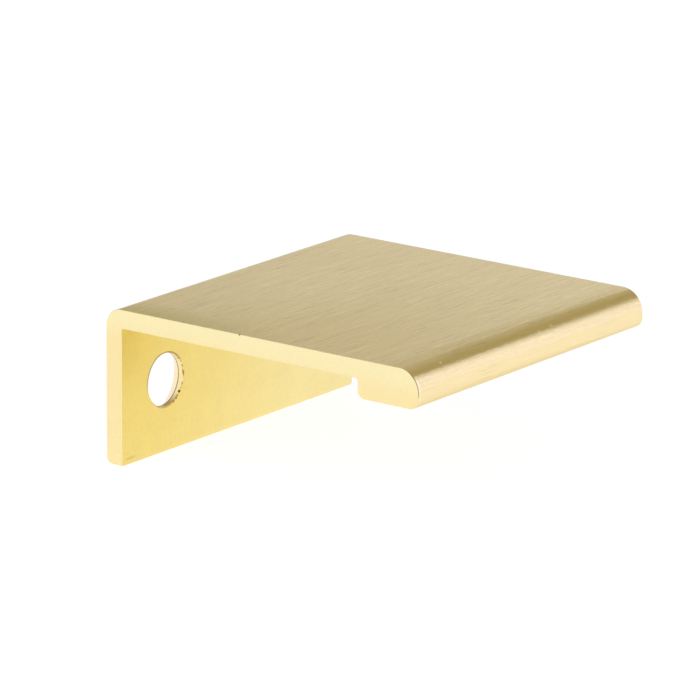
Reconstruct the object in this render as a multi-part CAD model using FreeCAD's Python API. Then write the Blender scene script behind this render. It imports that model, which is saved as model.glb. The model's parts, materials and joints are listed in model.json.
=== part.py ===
import FreeCAD, Part
import math
import os

# Tab pull for the top edge of a door or drawer front: one L-shaped bar of constant section, cut to length.
# The flange is screwed to the back of the front, the plate lies over its edge, and the lipped nose is pulled.
# X runs along the pull, +Z is up and the nose points to -Y. The origin lies midway between the two screw
# holes, on the face of the flange that meets the front. Sizes are in millimetres.

# Overall size of the bar
LENGTH = 40.0
DEPTH = 40.3
HEIGHT = 17.1

# Walls of the two legs and their corner
PLATE_WALL = 2.05
FLANGE_WALL = 2.08
OUTER_CORNER_RADIUS = 2.0
INNER_CORNER_RADIUS = 0.2

# Lip under the nose
LIP_DEPTH = 7.6
LIP_DROP = 2.05
NOSE_RADIUS = 2.5
LIP_FRONT_RADIUS = 1.1
LIP_REAR_RADIUS = 0.75
LIP_ROOT_RADIUS = 0.4

# Foot of the flange, and its two corners seen from the front
FOOT_BACK_RADIUS = 0.85
FOOT_FRONT_RADIUS = 0.3
FOOT_CORNER_RADIUS = 0.5

# Softened edges round both sawn ends
EDGE_BREAK = 0.05

# Screw holes, countersunk from the back of the flange
HOLE_SPACING = 25.4
HOLE_HEIGHT = 7.9
HOLE_DIAMETER = 5.8
HOLE_LAND = 0.65
HOLE_RIM_BREAK = 0.1
COUNTERSINK_DIAMETER = 8.1

# How far a cutting tool runs out past the face that it leaves
CUT_OVERRUN = 1.0
# Lengths below this count as nothing
TOUCHING = 1e-6


def shared_radius(corners, index):
    """The radius of a right-angled corner, less where it and a neighbour's would overlap on their run."""
    y, z, radius = corners[index]
    share = 1.0
    for neighbour in (index - 1, (index + 1) % len(corners)):
        other_y, other_z, other_radius = corners[neighbour]
        run = math.hypot(other_y - y, other_z - z)
        share = min(share, run / (radius + other_radius))
    return radius * share


def rounded_outline(corners):
    """Closed wire in the YZ plane through right-angled corners (y, z, radius), each with a tangent arc."""
    points = [FreeCAD.Vector(0, y, z) for y, z, _ in corners]
    arcs = []
    for index, corner in enumerate(points):
        radius = shared_radius(corners, index)
        back = (points[index - 1] - corner).normalize() * radius
        ahead = (points[(index + 1) % len(points)] - corner).normalize() * radius
        middle = (back + ahead) * (1 - math.sqrt(0.5))
        arcs.append((corner + back, corner + middle, corner + ahead))
    edges = []
    for index, (start, middle, end) in enumerate(arcs):
        last_end = arcs[index - 1][2]
        if (start - last_end).Length > TOUCHING:
            edges.append(Part.LineSegment(last_end, start).toShape())
        edges.append(Part.Arc(start, middle, end).toShape())
    return Part.Wire(edges)


def section():
    """Section of the bar: flange, plate and lip as one closed face in the YZ plane."""
    foot = -HOLE_HEIGHT
    top = foot + HEIGHT
    back = FLANGE_WALL
    nose = back - DEPTH
    underside = top - PLATE_WALL
    lip_bottom = underside - LIP_DROP
    lip_rear = nose + LIP_DEPTH
    corners = [
        (back, foot, FOOT_BACK_RADIUS),
        (back, top, OUTER_CORNER_RADIUS),
        (nose, top, NOSE_RADIUS),
        (nose, lip_bottom, LIP_FRONT_RADIUS),
        (lip_rear, lip_bottom, LIP_REAR_RADIUS),
        (lip_rear, underside, LIP_ROOT_RADIUS),
        (0, underside, INNER_CORNER_RADIUS),
        (0, foot, FOOT_FRONT_RADIUS),
    ]
    return Part.Face(rounded_outline(corners))


def at_an_end(edge):
    """Whether an edge lies in one of the two planes where the bar is cut off."""
    box = edge.BoundBox
    flat = box.XLength < TOUCHING
    return flat and abs(abs(box.Center.x) - LENGTH / 2) < TOUCHING


def bar():
    """The section drawn out along X, with the edges of both ends softened."""
    start = section()
    start.translate(FreeCAD.Vector(-LENGTH / 2, 0, 0))
    drawn = start.extrude(FreeCAD.Vector(LENGTH, 0, 0))
    return drawn.makeFillet(EDGE_BREAK, [edge for edge in drawn.Edges if at_an_end(edge)])


def screw_hole_tool(x):
    """What one screw hole takes away: a broken front rim, a plain land and a countersink to the back."""
    hole = HOLE_DIAMETER / 2
    countersink = COUNTERSINK_DIAMETER / 2
    flare = (countersink - hole) / (FLANGE_WALL - HOLE_LAND)
    profile = [
        (0, -CUT_OVERRUN),
        (hole + HOLE_RIM_BREAK + CUT_OVERRUN, -CUT_OVERRUN),
        (hole, HOLE_RIM_BREAK),
        (hole, HOLE_LAND),
        (countersink + flare * CUT_OVERRUN, FLANGE_WALL + CUT_OVERRUN),
        (0, FLANGE_WALL + CUT_OVERRUN),
    ]
    points = [FreeCAD.Vector(x + radius, y, 0) for radius, y in profile]
    face = Part.Face(Part.makePolygon(points + points[:1]))
    return face.revolve(FreeCAD.Vector(x, 0, 0), FreeCAD.Vector(0, 1, 0), 360)


def foot_corner_tool(side):
    """What rounds off one lower corner of the flange: a block at the corner, less a round bar."""
    axis_x = side * (LENGTH / 2 - FOOT_CORNER_RADIUS)
    axis_z = FOOT_CORNER_RADIUS - HOLE_HEIGHT
    reach = FOOT_CORNER_RADIUS + CUT_OVERRUN
    run = FLANGE_WALL + 2 * CUT_OVERRUN
    block_start = FreeCAD.Vector(min(axis_x, axis_x + side * reach), -CUT_OVERRUN, axis_z - reach)
    block = Part.makeBox(reach, run, reach, block_start)
    bar_start = FreeCAD.Vector(axis_x, -CUT_OVERRUN, axis_z)
    return block.cut(Part.makeCylinder(FOOT_CORNER_RADIUS, run, bar_start, FreeCAD.Vector(0, 1, 0)))


def pull_body():
    """The finished pull: the bar with both screw holes and the lower corners of its flange rounded off."""
    tools = []
    for side in (-1, 1):
        tools += [screw_hole_tool(side * HOLE_SPACING / 2), foot_corner_tool(side)]
    return bar().cut(tools).removeSplitter()


def main():
    os.makedirs("parts", exist_ok=True)
    body = pull_body()
    if len(body.Solids) != 1 or not body.isValid():
        raise ValueError("the pull isn't one valid solid")
    body.Solids[0].exportStep("parts/pull_body.step")
    box = body.optimalBoundingBox()
    print("pull_body", round(body.Volume, 2), "mm3,", len(body.Faces), "faces,", box)


main()
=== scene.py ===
import json
import math

import bpy
from mathutils import Matrix, Vector


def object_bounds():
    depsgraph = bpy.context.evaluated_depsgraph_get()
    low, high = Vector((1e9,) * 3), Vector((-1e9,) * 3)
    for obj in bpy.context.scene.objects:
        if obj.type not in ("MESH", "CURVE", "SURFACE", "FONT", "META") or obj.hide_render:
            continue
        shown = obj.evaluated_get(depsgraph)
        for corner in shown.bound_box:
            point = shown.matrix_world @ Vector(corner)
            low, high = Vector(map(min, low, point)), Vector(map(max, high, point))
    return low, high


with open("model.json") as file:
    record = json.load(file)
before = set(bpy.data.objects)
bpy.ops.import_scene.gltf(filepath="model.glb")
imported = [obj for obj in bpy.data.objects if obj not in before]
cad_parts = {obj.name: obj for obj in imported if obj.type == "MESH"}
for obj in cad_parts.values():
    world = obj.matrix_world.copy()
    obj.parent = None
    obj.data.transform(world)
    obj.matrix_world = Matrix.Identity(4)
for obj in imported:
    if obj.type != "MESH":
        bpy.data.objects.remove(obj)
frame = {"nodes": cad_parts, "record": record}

CAD_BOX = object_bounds()
MM = 0.001
PULL = "pull_body"

# The pull's section and screw holes, in millimetres: where its finishes meet
LEFT = CAD_BOX[0].x / MM
NOSE = CAD_BOX[0].y / MM
BACK = CAD_BOX[1].y / MM
TOP = CAD_BOX[1].z / MM
PLATE_WALL = 2.05
LIP_DEPTH = 7.6
NOSE_RADIUS = 2.5
UNDERSIDE = TOP - PLATE_WALL
LIP_REAR = NOSE + LIP_DEPTH
NOSE_START = NOSE + NOSE_RADIUS
HOLES = frame["record"]["mounts"][0]["dims"]
HOLE_SPACING = HOLES["spacing_x_mm"]
HOLE_RADIUS = HOLES["hole_r_mm"]
HOLE_LAND = 0.65
COUNTERSINK_RADIUS = 4.05

# Camera, with angles in degrees and the rest in millimetres
CAMERA_AZIMUTH = -53.21
CAMERA_ELEVATION = 15.58
CAMERA_ROLL = 0.37
CAMERA_AIM = (8.79, -8.10, -0.05)
CAMERA_DISTANCE = 622.7
CAMERA_LENS = 298.6
CAMERA_SENSOR = 36.0

# Floor in metres: its own white to the camera and in the metal, with a painted shadow below the nose that
# only the metal sees
FLOOR_RADIUS = 3.0
FLOOR_SIDES = 96
FLOOR_ALBEDO = 0.40
FLOOR_WHITE = (0.742, 0.765, 0.848, 1)
FLOOR_IN_METAL = (0.755, 0.725, 0.69, 1)
# Painted shadow: the floor as the metal sees it below the nose
FLOOR_PAINTED_SHADOW = (0.645, 0.60, 0.46, 1)
PAINTED_SHADOW_PLACE = (0.017, -0.030, CAD_BOX[0].z)
PAINTED_SHADOW_REACH = (0.050, 0.026, 1.0)

# Studio light as linear colours, by the cosine of the angle from a warm grey flag high on the right
FLAG_DIRECTION = (0.77, -0.13, 0.625)
SURROUND = (
    (0.00, (1.00, 0.98, 0.94)),
    (0.25, (0.74, 0.73, 0.71)),
    (0.50, (0.63, 0.615, 0.575)),
    (0.70, (0.54, 0.485, 0.375)),
    (0.82, (0.53, 0.485, 0.37)),
    (0.92, (0.467, 0.418, 0.28)),
    (0.98, (0.43, 0.377, 0.223)),
    (1.00, (0.405, 0.347, 0.195)),
)

# Two upright cards that show in the metal: x, y and height of both ends in millimetres, and the colour
SOFTBOX_ENDS = ((290.0, -172.0, 260.0), (69.0, -432.0, 260.0))
SOFTBOX_COLOUR = (1.05, 1.01, 1.07)
BOUNCE_ENDS = ((70.0, -20.0, 51.5), (70.0, 130.0, 32.5))
BOUNCE_COLOUR = (0.695, 0.668, 0.60)

# Shading: points this near are one, in millimetres, and edges past this angle are crisp, in degrees
WELD_DISTANCE = 0.001
CRISP_ANGLE = 34

# Brass as linear colours: brushed, plain and sawn faces with painted light and shade, painted edge lines of
# shade and highlight, and marks
BRASS = (0.94, 0.80, 0.485, 1)
# Painted light: a lighter patch on the brushed top above the flange
PAINTED_LIGHT_BRASS = (0.99, 0.86, 0.555, 1)
# Painted shade: darker along the left edge of the brushed top
SHADED_EDGE_BRASS = (0.74, 0.635, 0.285, 1)
PLAIN_BRASS = (0.945, 0.81, 0.315, 1)
# Painted light: the plain faces lighter towards the right end
LIT_FAR_PLAIN_BRASS = (1.0, 0.90, 0.49, 1)
# Painted shade: the plain faces darker in the upper left inner corner
SHADED_CORNER_BRASS = (0.87, 0.72, 0.24, 1)
# Painted shade: the sawn ends darker towards the foot
SHADED_LOW_END_BRASS = (0.96, 0.82, 0.455, 1)
END_BRASS = (0.965, 0.875, 0.535, 1)
# Painted shade: dark lines at the edges of the screw holes and at the left end of the nose
SHADE_LINE_BRASS = (0.30, 0.19, 0.07, 1)
BLACK_BRASS = (0.05, 0.04, 0.02, 1)
# Painted highlight: a bright line on the round at the left end of the nose
HIGHLIGHT_BRASS = (0.98, 0.93, 0.72, 1)
BRUSHED_ROUGHNESS = 0.26
NOSE_ROUGHNESS = 0.165
PLAIN_ROUGHNESS = 0.52
BRUSHING = 0.6

# Where each finish starts and where it is full: places in millimetres, and which way a face points
BEHIND_LIP_Y = (LIP_REAR - 0.10, LIP_REAR - 0.05)
BEFORE_FLANGE_Y = (0.06, 0.02)
UNDER_PLATE_Z = (UNDERSIDE + 0.06, UNDERSIDE + 0.02)
FACING_DOWN = (-0.6, -0.95)
FACING_SIDEWAYS = (0.75, 0.9)
FACING_FORWARD = (-0.1, -0.6)
FACING_UP = (0.3, 0.8)

# Painted light and painted shade of the brushed top, of the plain faces and of the sawn ends, in millimetres
PAINTED_LIGHT_PLACE = (-4.0, -6.0, TOP)
PAINTED_LIGHT_REACH = (16.0, 16.0, 4.0)
SHADED_EDGE_X = (-15.5, -20.0)
SHADED_EDGE_Y = (-26.0, -1.0)
PLAIN_LIGHT_X = (-22.0, 14.0)
SHADED_CORNER_X = (-13.0, -19.5)
SHADED_CORNER_Z = (-1.5, 6.0)
END_SHADE_Z = (5.5, 8.6)

# Brush marks along the pull: length, width and depth in millimetres, and tone
BRUSH_MARKS = (
    (0.35, 0.22, 0.0006, 0.080),
    (5.0, 0.20, 0.0014, 0.140),
    (14.0, 0.28, 0.0010, 0.075),
    (8.0, 1.1, 0.0003, 0.070),
)
# Where the marks come and go: size in millimetres, levels of noise, and faintest and strongest share
MARK_BREAKS = (1.3, 0.45, 0.45)
BREAK_LEVELS = (-0.12, 0.12)
MARK_SHARES = (0.25, 1.6)
# Separate scratches among them: length and width in millimetres, level of noise where one shows, and tone
SCRATCHES = (
    (5.0, 0.15, 0.14, -0.18),
    (3.5, 0.18, 0.15, 0.10),
)
SCRATCH_EDGE = 0.07
# The share of all this that is left on the nose
NOSE_BRUSHING = 0.35

# Fine pits of the nose, and how far polishing has eased the top down into it, in millimetres
PIT_SIZE = 0.17
PIT_DEPTH = 0.021
EASED_HEIGHT = 0.12
EASED_Y = (NOSE_START - 0.7, NOSE_START + 1.5)
EASED_FACING = (0.2, 0.6)

# Raised specks on the nose, in millimetres
SPECKS = ((-14.73, -37.02, 8.83), (2.05, -37.41, 8.543), (4.37, -37.276, 8.657))
SPECK_SIZE = 0.19
SPECK_HEIGHT = 0.055

# Painted shade on the front rim of the screw holes, in millimetres: its radii, patches and depth
RIM_SHADE_RADII = (HOLE_RADIUS + 0.02, HOLE_RADIUS + 0.16)
OUTER_RIM_SHADE_RADII = (HOLE_RADIUS + 0.08, HOLE_RADIUS + 0.24)
RIM_SHADE_SOFT = 0.03
RIM_SHADE_PATCH = 0.55
PATCH_LEVELS = (-0.04, 0.08)
RIM_SHADE_Y = (0.2, 0.12)
# Where the rim's painted shade starts and is full round the hole, in millimetres from its middle, and how
# dark it is there
HIGH_RIM_SHADE_Z = (1.2, 2.4)
HIGH_RIM_SHADE = 0.60
OUTER_RIM_SHADE_X = (0.2, 1.2)
OUTER_RIM_SHADE_Z = (-0.9, 0.6)
OUTER_RIM_SHADE = 0.65
INNER_RIM_SHADE_X = (-0.4, -1.4)
INNER_RIM_SHADE = 0.85
LOW_RIM_SHADE_Z = (-2.5, -2.9)
LOW_RIM_SHADE = 0.25

# Painted shade lines at the land and at the back edge inside the screw holes, in millimetres, and how dark
# they are
LAND_RADII = (HOLE_RADIUS + 0.15, HOLE_RADIUS + 0.08)
LAND_EDGE_Y = (HOLE_LAND - 0.09, HOLE_LAND + 0.05)
LAND_EDGE_SOFT = 0.03
LAND_EDGE = 0.90
LOW_LAND_Y = (0.1, HOLE_LAND)
LOW_LAND_SOFT = 0.1
LOW_LAND_Z = (-2.2, -2.9)
LOW_LAND = 0.50
BACK_EDGE_Y = (BACK - 0.08, BACK)
BACK_EDGE_SOFT = 0.02
BACK_EDGE_RADII = (COUNTERSINK_RADIUS, COUNTERSINK_RADIUS - 0.02)
BACK_EDGE = 0.30

# Painted shade line and painted highlight on the round at the left end of the nose: where they run, in
# millimetres, and their strength
NOSE_EDGE_Y = (NOSE_START, NOSE_START - 0.3)
EDGE_LINE_RUN_SOFT = 0.5
DARK_LINE_X = (0.16, 0.10)
DARK_LINE_Z = (TOP - 2.5, TOP - 0.7)
BRIGHT_LINE_X = (0.20, 0.38)
BRIGHT_LINE_SOFT = 0.05
BRIGHT_LINE_Z = (TOP - 3.0, TOP - 1.2)
EDGE_LINE_STRENGTH = 0.75

# Dark marks of handling: place and size in millimetres, and strength
NICKS = (
    ((-10.42, 0.05, -1.74), (0.30, 0.26, 0.19), 1.0),
    ((-10.75, 0.05, -2.08), 0.16, 0.6),
    ((-10.99, 0.05, -2.26), 0.16, 0.6),
    ((-10.85, 0.1, 2.10), 0.20, 0.5),
    ((-10.55, 0.1, 1.85), 0.22, 0.6),
    ((-10.14, 0.05, 1.06), 0.18, 0.5),
    ((-20.0, -15.50, 9.18), (0.22, 0.16, 0.20), 0.8),
    ((-18.70, 0.0, -7.15), (1.30, 0.30, 0.22), 0.14),
)

# Cloudy tone of the plain faces and of the sawn ends: size in millimetres, and tone
PLAIN_CLOUDS = ((3.0, 0.040), (0.45, 0.045))
END_CLOUDS = ((3.5, 0.018), (0.32, 0.040))

# The share of a spot's size that is full, and the middle level and detail of noise
SPOT_CORE = 0.3
NOISE_MIDDLE = 0.5
NOISE_DETAIL = 1.5

# Sockets of a colour mix by number, because mixes of other kinds have the same names on the same node
MIX_FACTOR = 0
MIX_FIRST = 6
MIX_SECOND = 7
MIX_RESULT = 2


def add_node(tree, kind, inputs=None, **settings):
    """A shader node with its settings, and its inputs given as values or as sockets to link."""
    node = tree.nodes.new(kind)
    for name, value in settings.items():
        setattr(node, name, value)
    for name, value in (inputs or {}).items():
        if isinstance(value, bpy.types.NodeSocket):
            tree.links.new(value, node.inputs[name])
        else:
            node.inputs[name].default_value = value
    return node


def new_tree(name):
    """A material with an empty node tree and its output."""
    material = bpy.data.materials.new(name)
    material.use_nodes = True
    material.node_tree.nodes.clear()
    output = add_node(material.node_tree, "ShaderNodeOutputMaterial")
    return material, material.node_tree, output


def maths(tree, operation, first, second=0.0):
    """The result socket of one maths node."""
    return add_node(tree, "ShaderNodeMath", {0: first, 1: second}, operation=operation).outputs[0]


def together(tree, operation, values):
    """Several sockets or numbers taken together by one operation of maths."""
    result, *others = values
    for value in others:
        result = maths(tree, operation, result, value)
    return result


def total(tree, terms):
    """The sum of several sockets or numbers."""
    return together(tree, "ADD", terms)


def product(tree, factors):
    """The product of several sockets or numbers."""
    return together(tree, "MULTIPLY", factors)


def strongest(tree, shares):
    """The greatest of several sockets or numbers."""
    return together(tree, "MAXIMUM", shares)


def rest_of(tree, share):
    """What a share leaves of 1."""
    return maths(tree, "SUBTRACT", 1.0, share)


def step(tree, value, low, high):
    """A smooth step: 0 where the value is at low or before it, 1 where it is at high or past it."""
    inputs = {"Value": value, "From Min": low, "From Max": high}
    return add_node(tree, "ShaderNodeMapRange", inputs, interpolation_type="SMOOTHSTEP").outputs["Result"]


def band(tree, value, low, high, soft):
    """1 where the value is between low and high, with soft sides."""
    return product(tree, (step(tree, value, low - soft, low), step(tree, value, high + soft, high)))


def mix(tree, factor, first, second):
    """The colour socket of a mix from the first colour to the second."""
    inputs = {MIX_FACTOR: factor, MIX_FIRST: first, MIX_SECOND: second}
    return add_node(tree, "ShaderNodeMix", inputs, data_type="RGBA").outputs[MIX_RESULT]


def between(tree, factor, first, second):
    """A number that goes from the first to the second with the factor."""
    node = add_node(tree, "ShaderNodeMapRange", {"Value": factor, "To Min": first, "To Max": second})
    return node.outputs["Result"]


def in_sizes(tree, place, size):
    """A place counted in lengths of one size, or of a size for each axis."""
    sizes = (size,) * 3 if isinstance(size, float) else size
    return add_node(tree, "ShaderNodeVectorMath", {0: place, 1: sizes}, operation="DIVIDE").outputs[0]


def noise(tree, place, size):
    """Noise about nought over a place, of one size or of a size for each axis."""
    inputs = {"Vector": in_sizes(tree, place, size), "Scale": 1.0, "Detail": NOISE_DETAIL}
    return maths(tree, "SUBTRACT", add_node(tree, "ShaderNodeTexNoise", inputs).outputs[0], NOISE_MIDDLE)


def streaks(tree, place, length, width):
    """Noise drawn out along the pull."""
    return noise(tree, place, (length, width, width))


def clouds(tree, place, layers):
    """Layers of even noise, each given as its size and tone, added up."""
    return total(tree, [product(tree, (noise(tree, place, size), 2 * tone)) for size, tone in layers])


def spot(tree, place, centre, size):
    """1 at the centre, falling to nothing at its size, or at its size along each axis."""
    offset = add_node(tree, "ShaderNodeVectorMath", {0: place, 1: centre}, operation="SUBTRACT").outputs[0]
    apart = add_node(tree, "ShaderNodeVectorMath", {0: in_sizes(tree, offset, size)}, operation="LENGTH")
    return step(tree, apart.outputs["Value"], 1.0, SPOT_CORE)


def make_camera():
    """The camera at the photograph's angle."""
    azimuth = math.radians(CAMERA_AZIMUTH)
    elevation = math.radians(CAMERA_ELEVATION)
    back = Vector((
        math.sin(azimuth) * math.cos(elevation),
        -math.cos(azimuth) * math.cos(elevation),
        math.sin(elevation),
    ))
    right = Vector((math.cos(azimuth), math.sin(azimuth), 0))
    level = Matrix((right, back.cross(right), back)).transposed().to_4x4()
    data = bpy.data.cameras.new("camera")
    data.lens = CAMERA_LENS
    data.sensor_width = CAMERA_SENSOR
    camera = bpy.data.objects.new("camera", data)
    place = Matrix.Translation((Vector(CAMERA_AIM) + back * CAMERA_DISTANCE) * MM)
    camera.matrix_world = place @ level @ Matrix.Rotation(math.radians(CAMERA_ROLL), 4, "Z")
    bpy.context.scene.collection.objects.link(camera)
    bpy.context.scene.camera = camera


def stage_mesh(name, corners, material):
    """One flat face of the studio."""
    mesh = bpy.data.meshes.new(name)
    mesh.from_pydata(corners, [], [list(range(len(corners)))])
    mesh.materials.append(material)
    piece = bpy.data.objects.new(name, mesh)
    bpy.context.scene.collection.objects.link(piece)
    return piece


def floor_glow(tree):
    """The floor's own white: even to the camera, and in metal and glass with a painted shadow below the
    nose.
    """
    path = add_node(tree, "ShaderNodeLightPath")
    camera = path.outputs["Is Camera Ray"]
    place = add_node(tree, "ShaderNodeTexCoord").outputs["Object"]
    painted_shadow = spot(tree, place, PAINTED_SHADOW_PLACE, PAINTED_SHADOW_REACH)
    in_metal = mix(tree, painted_shadow, FLOOR_IN_METAL, FLOOR_PAINTED_SHADOW)
    rays = (camera, path.outputs["Is Glossy Ray"], path.outputs["Is Transmission Ray"])
    return add_node(tree, "ShaderNodeEmission", {
        "Color": mix(tree, camera, in_metal, FLOOR_WHITE),
        "Strength": strongest(tree, rays),
    })


def floor_material():
    """White paper that shows as white and still takes a faint shadow."""
    material, tree, output = new_tree("white_floor")
    paper = add_node(tree, "ShaderNodeBsdfDiffuse", {"Color": (FLOOR_ALBEDO,) * 3 + (1,)})
    both = add_node(tree, "ShaderNodeAddShader", {0: paper.outputs[0], 1: floor_glow(tree).outputs[0]})
    tree.links.new(both.outputs[0], output.inputs["Surface"])
    return material


def make_floor():
    """A round floor at the foot of the flange."""
    foot = CAD_BOX[0].z
    rim = []
    for side in range(FLOOR_SIDES):
        turn = 2 * math.pi * side / FLOOR_SIDES
        rim.append((FLOOR_RADIUS * math.cos(turn), FLOOR_RADIUS * math.sin(turn), foot))
    stage_mesh("floor", rim, floor_material())


def make_card(name, ends, colour):
    """An upright card of even light that shows in the metal and stays out of the picture."""
    material, tree, output = new_tree(name)
    glow = add_node(tree, "ShaderNodeEmission", {"Color": colour + (1,)})
    tree.links.new(glow.outputs[0], output.inputs["Surface"])
    foot = CAD_BOX[0].z
    lower = [(x * MM, y * MM, foot) for x, y, _ in ends]
    upper = [(x * MM, y * MM, foot + height * MM) for x, y, height in ends]
    card = stage_mesh(name, lower + upper[::-1], material)
    card.visible_camera = False
    card.visible_diffuse = False
    card.visible_shadow = False


def make_world():
    """A pale surround, darker and warmer round the flag."""
    world = bpy.data.worlds.new("studio")
    world.use_nodes = True
    bpy.context.scene.world = world
    tree = world.node_tree
    direction = add_node(tree, "ShaderNodeTexCoord").outputs["Generated"]
    flag = Vector(FLAG_DIRECTION).normalized()
    nearness = add_node(tree, "ShaderNodeVectorMath", {0: direction, 1: flag}, operation="DOT_PRODUCT")
    ramp = add_node(tree, "ShaderNodeValToRGB", {"Fac": nearness.outputs["Value"]})
    stops = ramp.color_ramp.elements
    for place, _ in SURROUND[1:-1]:
        stops.new(place)
    for stop, (place, colour) in zip(stops, SURROUND):
        stop.position = place
        stop.color = colour + (1,)
    tree.links.new(ramp.outputs["Color"], tree.nodes["Background"].inputs["Color"])


def plain_zone(tree, axes, facing, ends):
    """1 where the brushes don't reach: between flange and lip, and on what faces straight down."""
    inside = product(tree, (
        step(tree, axes["Y"], *BEHIND_LIP_Y),
        step(tree, axes["Y"], *BEFORE_FLANGE_Y),
        step(tree, axes["Z"], *UNDER_PLATE_Z),
    ))
    plain = strongest(tree, (inside, step(tree, facing["Z"], *FACING_DOWN)))
    return product(tree, (plain, rest_of(tree, ends)))


def brass_zones(tree, axes, facing):
    """Where each finish lies, from 0 to 1: sawn ends, plain faces, the nose, and how far brushing shows."""
    ends = step(tree, maths(tree, "ABSOLUTE", facing["X"]), *FACING_SIDEWAYS)
    plain = plain_zone(tree, axes, facing, ends)
    outside = product(tree, (rest_of(tree, ends), rest_of(tree, plain)))
    nose = product(tree, (step(tree, facing["Y"], *FACING_FORWARD), outside))
    brushed = product(tree, (outside, between(tree, nose, 1.0, NOSE_BRUSHING)))
    return {"ends": ends, "plain": plain, "nose": nose, "brushed": brushed}


def painted_rim_shade(tree, place, axes, outward, radius):
    """Painted shade on the front rim of the screw holes, in patches on the inner side."""
    rim = band(tree, radius, *RIM_SHADE_RADII, RIM_SHADE_SOFT)
    outer_rim = band(tree, radius, *OUTER_RIM_SHADE_RADII, RIM_SHADE_SOFT)
    outer_run = product(tree, (step(tree, outward, *OUTER_RIM_SHADE_X), step(tree, axes["Z"], *OUTER_RIM_SHADE_Z)))
    patches = step(tree, noise(tree, place, RIM_SHADE_PATCH), *PATCH_LEVELS)
    rim_shade = strongest(tree, (
        product(tree, (rim, step(tree, axes["Z"], *HIGH_RIM_SHADE_Z), HIGH_RIM_SHADE)),
        product(tree, (outer_rim, outer_run, OUTER_RIM_SHADE)),
        product(tree, (rim, step(tree, outward, *INNER_RIM_SHADE_X), patches, INNER_RIM_SHADE)),
        product(tree, (rim, step(tree, axes["Z"], *LOW_RIM_SHADE_Z), LOW_RIM_SHADE)),
    ))
    return product(tree, (rim_shade, step(tree, axes["Y"], *RIM_SHADE_Y)))


def bore_lines(tree, axes, radius):
    """Painted shade lines inside the screw holes: the land's edge and low side, and the countersink's back
    edge.
    """
    in_land = step(tree, radius, *LAND_RADII)
    land_edge = band(tree, axes["Y"], *LAND_EDGE_Y, LAND_EDGE_SOFT)
    land = band(tree, axes["Y"], *LOW_LAND_Y, LOW_LAND_SOFT)
    back_edge = band(tree, axes["Y"], *BACK_EDGE_Y, BACK_EDGE_SOFT)
    return strongest(tree, (
        product(tree, (land_edge, in_land, LAND_EDGE)),
        product(tree, (land, in_land, step(tree, axes["Z"], *LOW_LAND_Z), LOW_LAND)),
        product(tree, (back_edge, step(tree, radius, *BACK_EDGE_RADII), BACK_EDGE)),
    ))


def hole_lines(tree, place, axes):
    """Painted shade lines of both screw holes: on the front rim, and inside."""
    outward = maths(tree, "SUBTRACT", maths(tree, "ABSOLUTE", axes["X"]), HOLE_SPACING / 2)
    flat = add_node(tree, "ShaderNodeCombineXYZ", {"X": outward, "Z": axes["Z"]}).outputs[0]
    radius = add_node(tree, "ShaderNodeVectorMath", {0: flat}, operation="LENGTH").outputs["Value"]
    rim_shade = painted_rim_shade(tree, place, axes, outward, radius)
    return strongest(tree, (rim_shade, bore_lines(tree, axes, radius)))


def painted_nose_edge_lines(tree, axes, ends):
    """A painted shade line on the round at the left end of the nose, and a painted highlight beside it."""
    inward = maths(tree, "SUBTRACT", axes["X"], LEFT)
    nose = product(tree, (step(tree, axes["Y"], *NOSE_EDGE_Y), rest_of(tree, ends)))
    dark_run = band(tree, axes["Z"], *DARK_LINE_Z, EDGE_LINE_RUN_SOFT)
    dark = product(tree, (step(tree, inward, *DARK_LINE_X), dark_run, nose, EDGE_LINE_STRENGTH))
    bright_run = band(tree, axes["Z"], *BRIGHT_LINE_Z, EDGE_LINE_RUN_SOFT)
    bright_line = band(tree, inward, *BRIGHT_LINE_X, BRIGHT_LINE_SOFT)
    bright = product(tree, (bright_line, bright_run, nose, EDGE_LINE_STRENGTH))
    return dark, bright


def brushed_colour(tree, place, axes, facing):
    """The brushed brass, with a painted light patch above the flange and painted shade along the left edge
    of the top.
    """
    painted_light = spot(tree, place, PAINTED_LIGHT_PLACE, PAINTED_LIGHT_REACH)
    # Painted shade along the left edge of the top
    edge = product(tree, (
        step(tree, axes["X"], *SHADED_EDGE_X),
        step(tree, axes["Y"], *SHADED_EDGE_Y),
        step(tree, facing["Z"], *FACING_UP),
    ))
    return mix(tree, edge, mix(tree, painted_light, BRASS, PAINTED_LIGHT_BRASS), SHADED_EDGE_BRASS)


def plain_colour(tree, axes):
    """The plain brass, with painted light towards the right end and painted shade in the upper left corner.
    """
    colour = mix(tree, step(tree, axes["X"], *PLAIN_LIGHT_X), PLAIN_BRASS, LIT_FAR_PLAIN_BRASS)
    # Painted shade in the upper left inner corner
    corner = product(tree, (step(tree, axes["X"], *SHADED_CORNER_X), step(tree, axes["Z"], *SHADED_CORNER_Z)))
    return mix(tree, corner, colour, SHADED_CORNER_BRASS)


def marked(tree, colour, place, axes, ends):
    """A colour with painted shade lines at the screw holes and at the nose's left end, a painted highlight
    beside the latter, and the nicks of handling over it.
    """
    dark_line, bright_line = painted_nose_edge_lines(tree, axes, ends)
    colour = mix(tree, hole_lines(tree, place, axes), colour, SHADE_LINE_BRASS)
    colour = mix(tree, bright_line, colour, HIGHLIGHT_BRASS)
    colour = mix(tree, dark_line, colour, SHADE_LINE_BRASS)
    for centre, size, strength in NICKS:
        nick = product(tree, (spot(tree, place, centre, size), strength))
        colour = mix(tree, nick, colour, BLACK_BRASS)
    return colour


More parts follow.
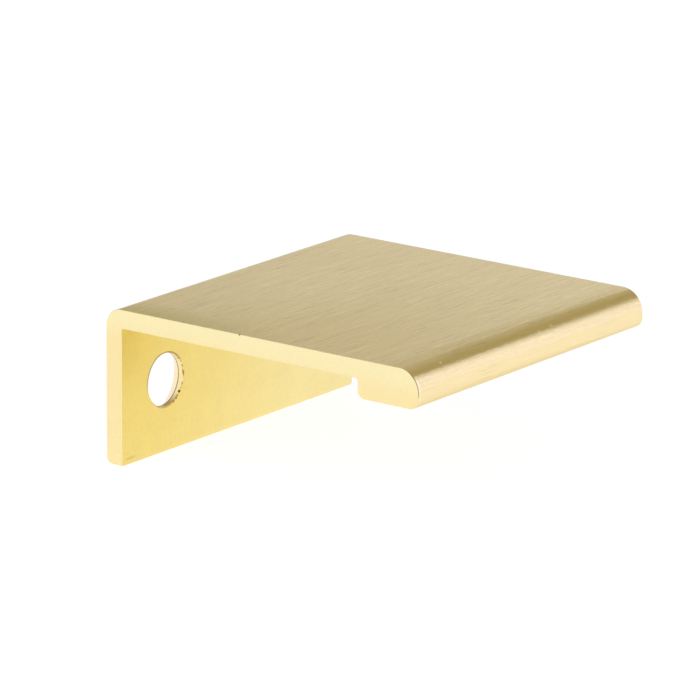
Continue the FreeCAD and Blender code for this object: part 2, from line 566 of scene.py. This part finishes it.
def brass_tone(tree, place, zones):
    """How light each place is beside the rest of its finish: brush marks, scratches and clouds."""
    marks = []
    for length, width, _, tone in BRUSH_MARKS:
        marks.append(product(tree, (streaks(tree, place, length, width), 2 * tone)))
    breaks = step(tree, noise(tree, place, MARK_BREAKS), *BREAK_LEVELS)
    strokes = [product(tree, (total(tree, marks), between(tree, breaks, *MARK_SHARES)))]
    for length, width, level, tone in SCRATCHES:
        scratch = step(tree, streaks(tree, place, length, width), level, level + SCRATCH_EDGE)
        strokes.append(product(tree, (scratch, tone)))
    return total(tree, (
        1.0,
        product(tree, (total(tree, strokes), zones["brushed"])),
        product(tree, (clouds(tree, place, PLAIN_CLOUDS), zones["plain"])),
        product(tree, (clouds(tree, place, END_CLOUDS), zones["ends"])),
    ))


def brass_colour(tree, place, axes, facing, zones):
    """The colour of each finish with its marks and its tone."""
    colour = mix(tree, zones["plain"], brushed_colour(tree, place, axes, facing), plain_colour(tree, axes))
    # Painted shade: the sawn ends darker towards the foot
    sawn = mix(tree, step(tree, axes["Z"], *END_SHADE_Z), SHADED_LOW_END_BRASS, END_BRASS)
    colour = marked(tree, mix(tree, zones["ends"], colour, sawn), place, axes, zones["ends"])
    inputs = {0: colour, "Scale": brass_tone(tree, place, zones)}
    return add_node(tree, "ShaderNodeVectorMath", inputs, operation="SCALE").outputs[0]


def brass_roughness(tree, zones):
    """Smoother on the nose than where it is brushed, and roughest on the plain faces."""
    outside = between(tree, zones["nose"], BRUSHED_ROUGHNESS, NOSE_ROUGHNESS)
    return total(tree, (outside, product(tree, (zones["plain"], PLAIN_ROUGHNESS - BRUSHED_ROUGHNESS))))


def brass_relief(tree, place, axes, facing, zones):
    """The height of the surface in millimetres: brush marks, the eased front of the top, pits and specks."""
    heights = []
    for length, width, depth, _ in BRUSH_MARKS:
        heights.append(product(tree, (streaks(tree, place, length, width), depth, zones["brushed"])))
    eased = product(tree, (step(tree, axes["Y"], *EASED_Y), step(tree, facing["Z"], *EASED_FACING)))
    heights.append(product(tree, (eased, EASED_HEIGHT)))
    heights.append(product(tree, (noise(tree, place, PIT_SIZE), zones["nose"], PIT_DEPTH)))
    for centre in SPECKS:
        heights.append(product(tree, (spot(tree, place, centre, SPECK_SIZE), SPECK_HEIGHT)))
    return total(tree, heights)


def brass_material():
    """Brass: brushed along the pull outside, plain between flange and lip, and sawn smooth at the ends."""
    material, tree, output = new_tree("brushed_brass")
    coordinates = add_node(tree, "ShaderNodeTexCoord")
    inputs = {0: coordinates.outputs["Object"], "Scale": 1 / MM}
    place = add_node(tree, "ShaderNodeVectorMath", inputs, operation="SCALE").outputs[0]
    axes = add_node(tree, "ShaderNodeSeparateXYZ", {0: place}).outputs
    facing = add_node(tree, "ShaderNodeSeparateXYZ", {0: coordinates.outputs["Normal"]}).outputs
    zones = brass_zones(tree, axes, facing)
    relief = brass_relief(tree, place, axes, facing, zones)
    bump = add_node(tree, "ShaderNodeBump", {"Strength": 1.0, "Distance": MM, "Height": relief})
    tangent = add_node(tree, "ShaderNodeTangent", direction_type="RADIAL", axis="X")
    shader = add_node(tree, "ShaderNodeBsdfPrincipled", {
        "Base Color": brass_colour(tree, place, axes, facing, zones),
        "Metallic": 1.0,
        "Roughness": brass_roughness(tree, zones),
        "Anisotropic": BRUSHING,
        "Tangent": tangent.outputs[0],
        "Normal": bump.outputs[0],
    })
    tree.links.new(shader.outputs[0], output.inputs["Surface"])
    return material


def dress_pull():
    """The pull's own solid with the brass finish and true shading where its rounds run out into flats."""
    pull = frame["nodes"][PULL]
    pull.data.materials.clear()
    pull.data.materials.append(brass_material())
    weld = pull.modifiers.new("weld", "WELD")
    weld.merge_threshold = WELD_DISTANCE * MM
    crisp = pull.modifiers.new("crisp", "EDGE_SPLIT")
    crisp.split_angle = math.radians(CRISP_ANGLE)
    pull.modifiers.new("true_rounds", "WEIGHTED_NORMAL")


bpy.context.scene.view_settings.view_transform = "Standard"
make_camera()
make_floor()
make_card("softbox", SOFTBOX_ENDS, SOFTBOX_COLOUR)
make_card("bounce_card", BOUNCE_ENDS, BOUNCE_COLOUR)
make_world()
dress_pull()
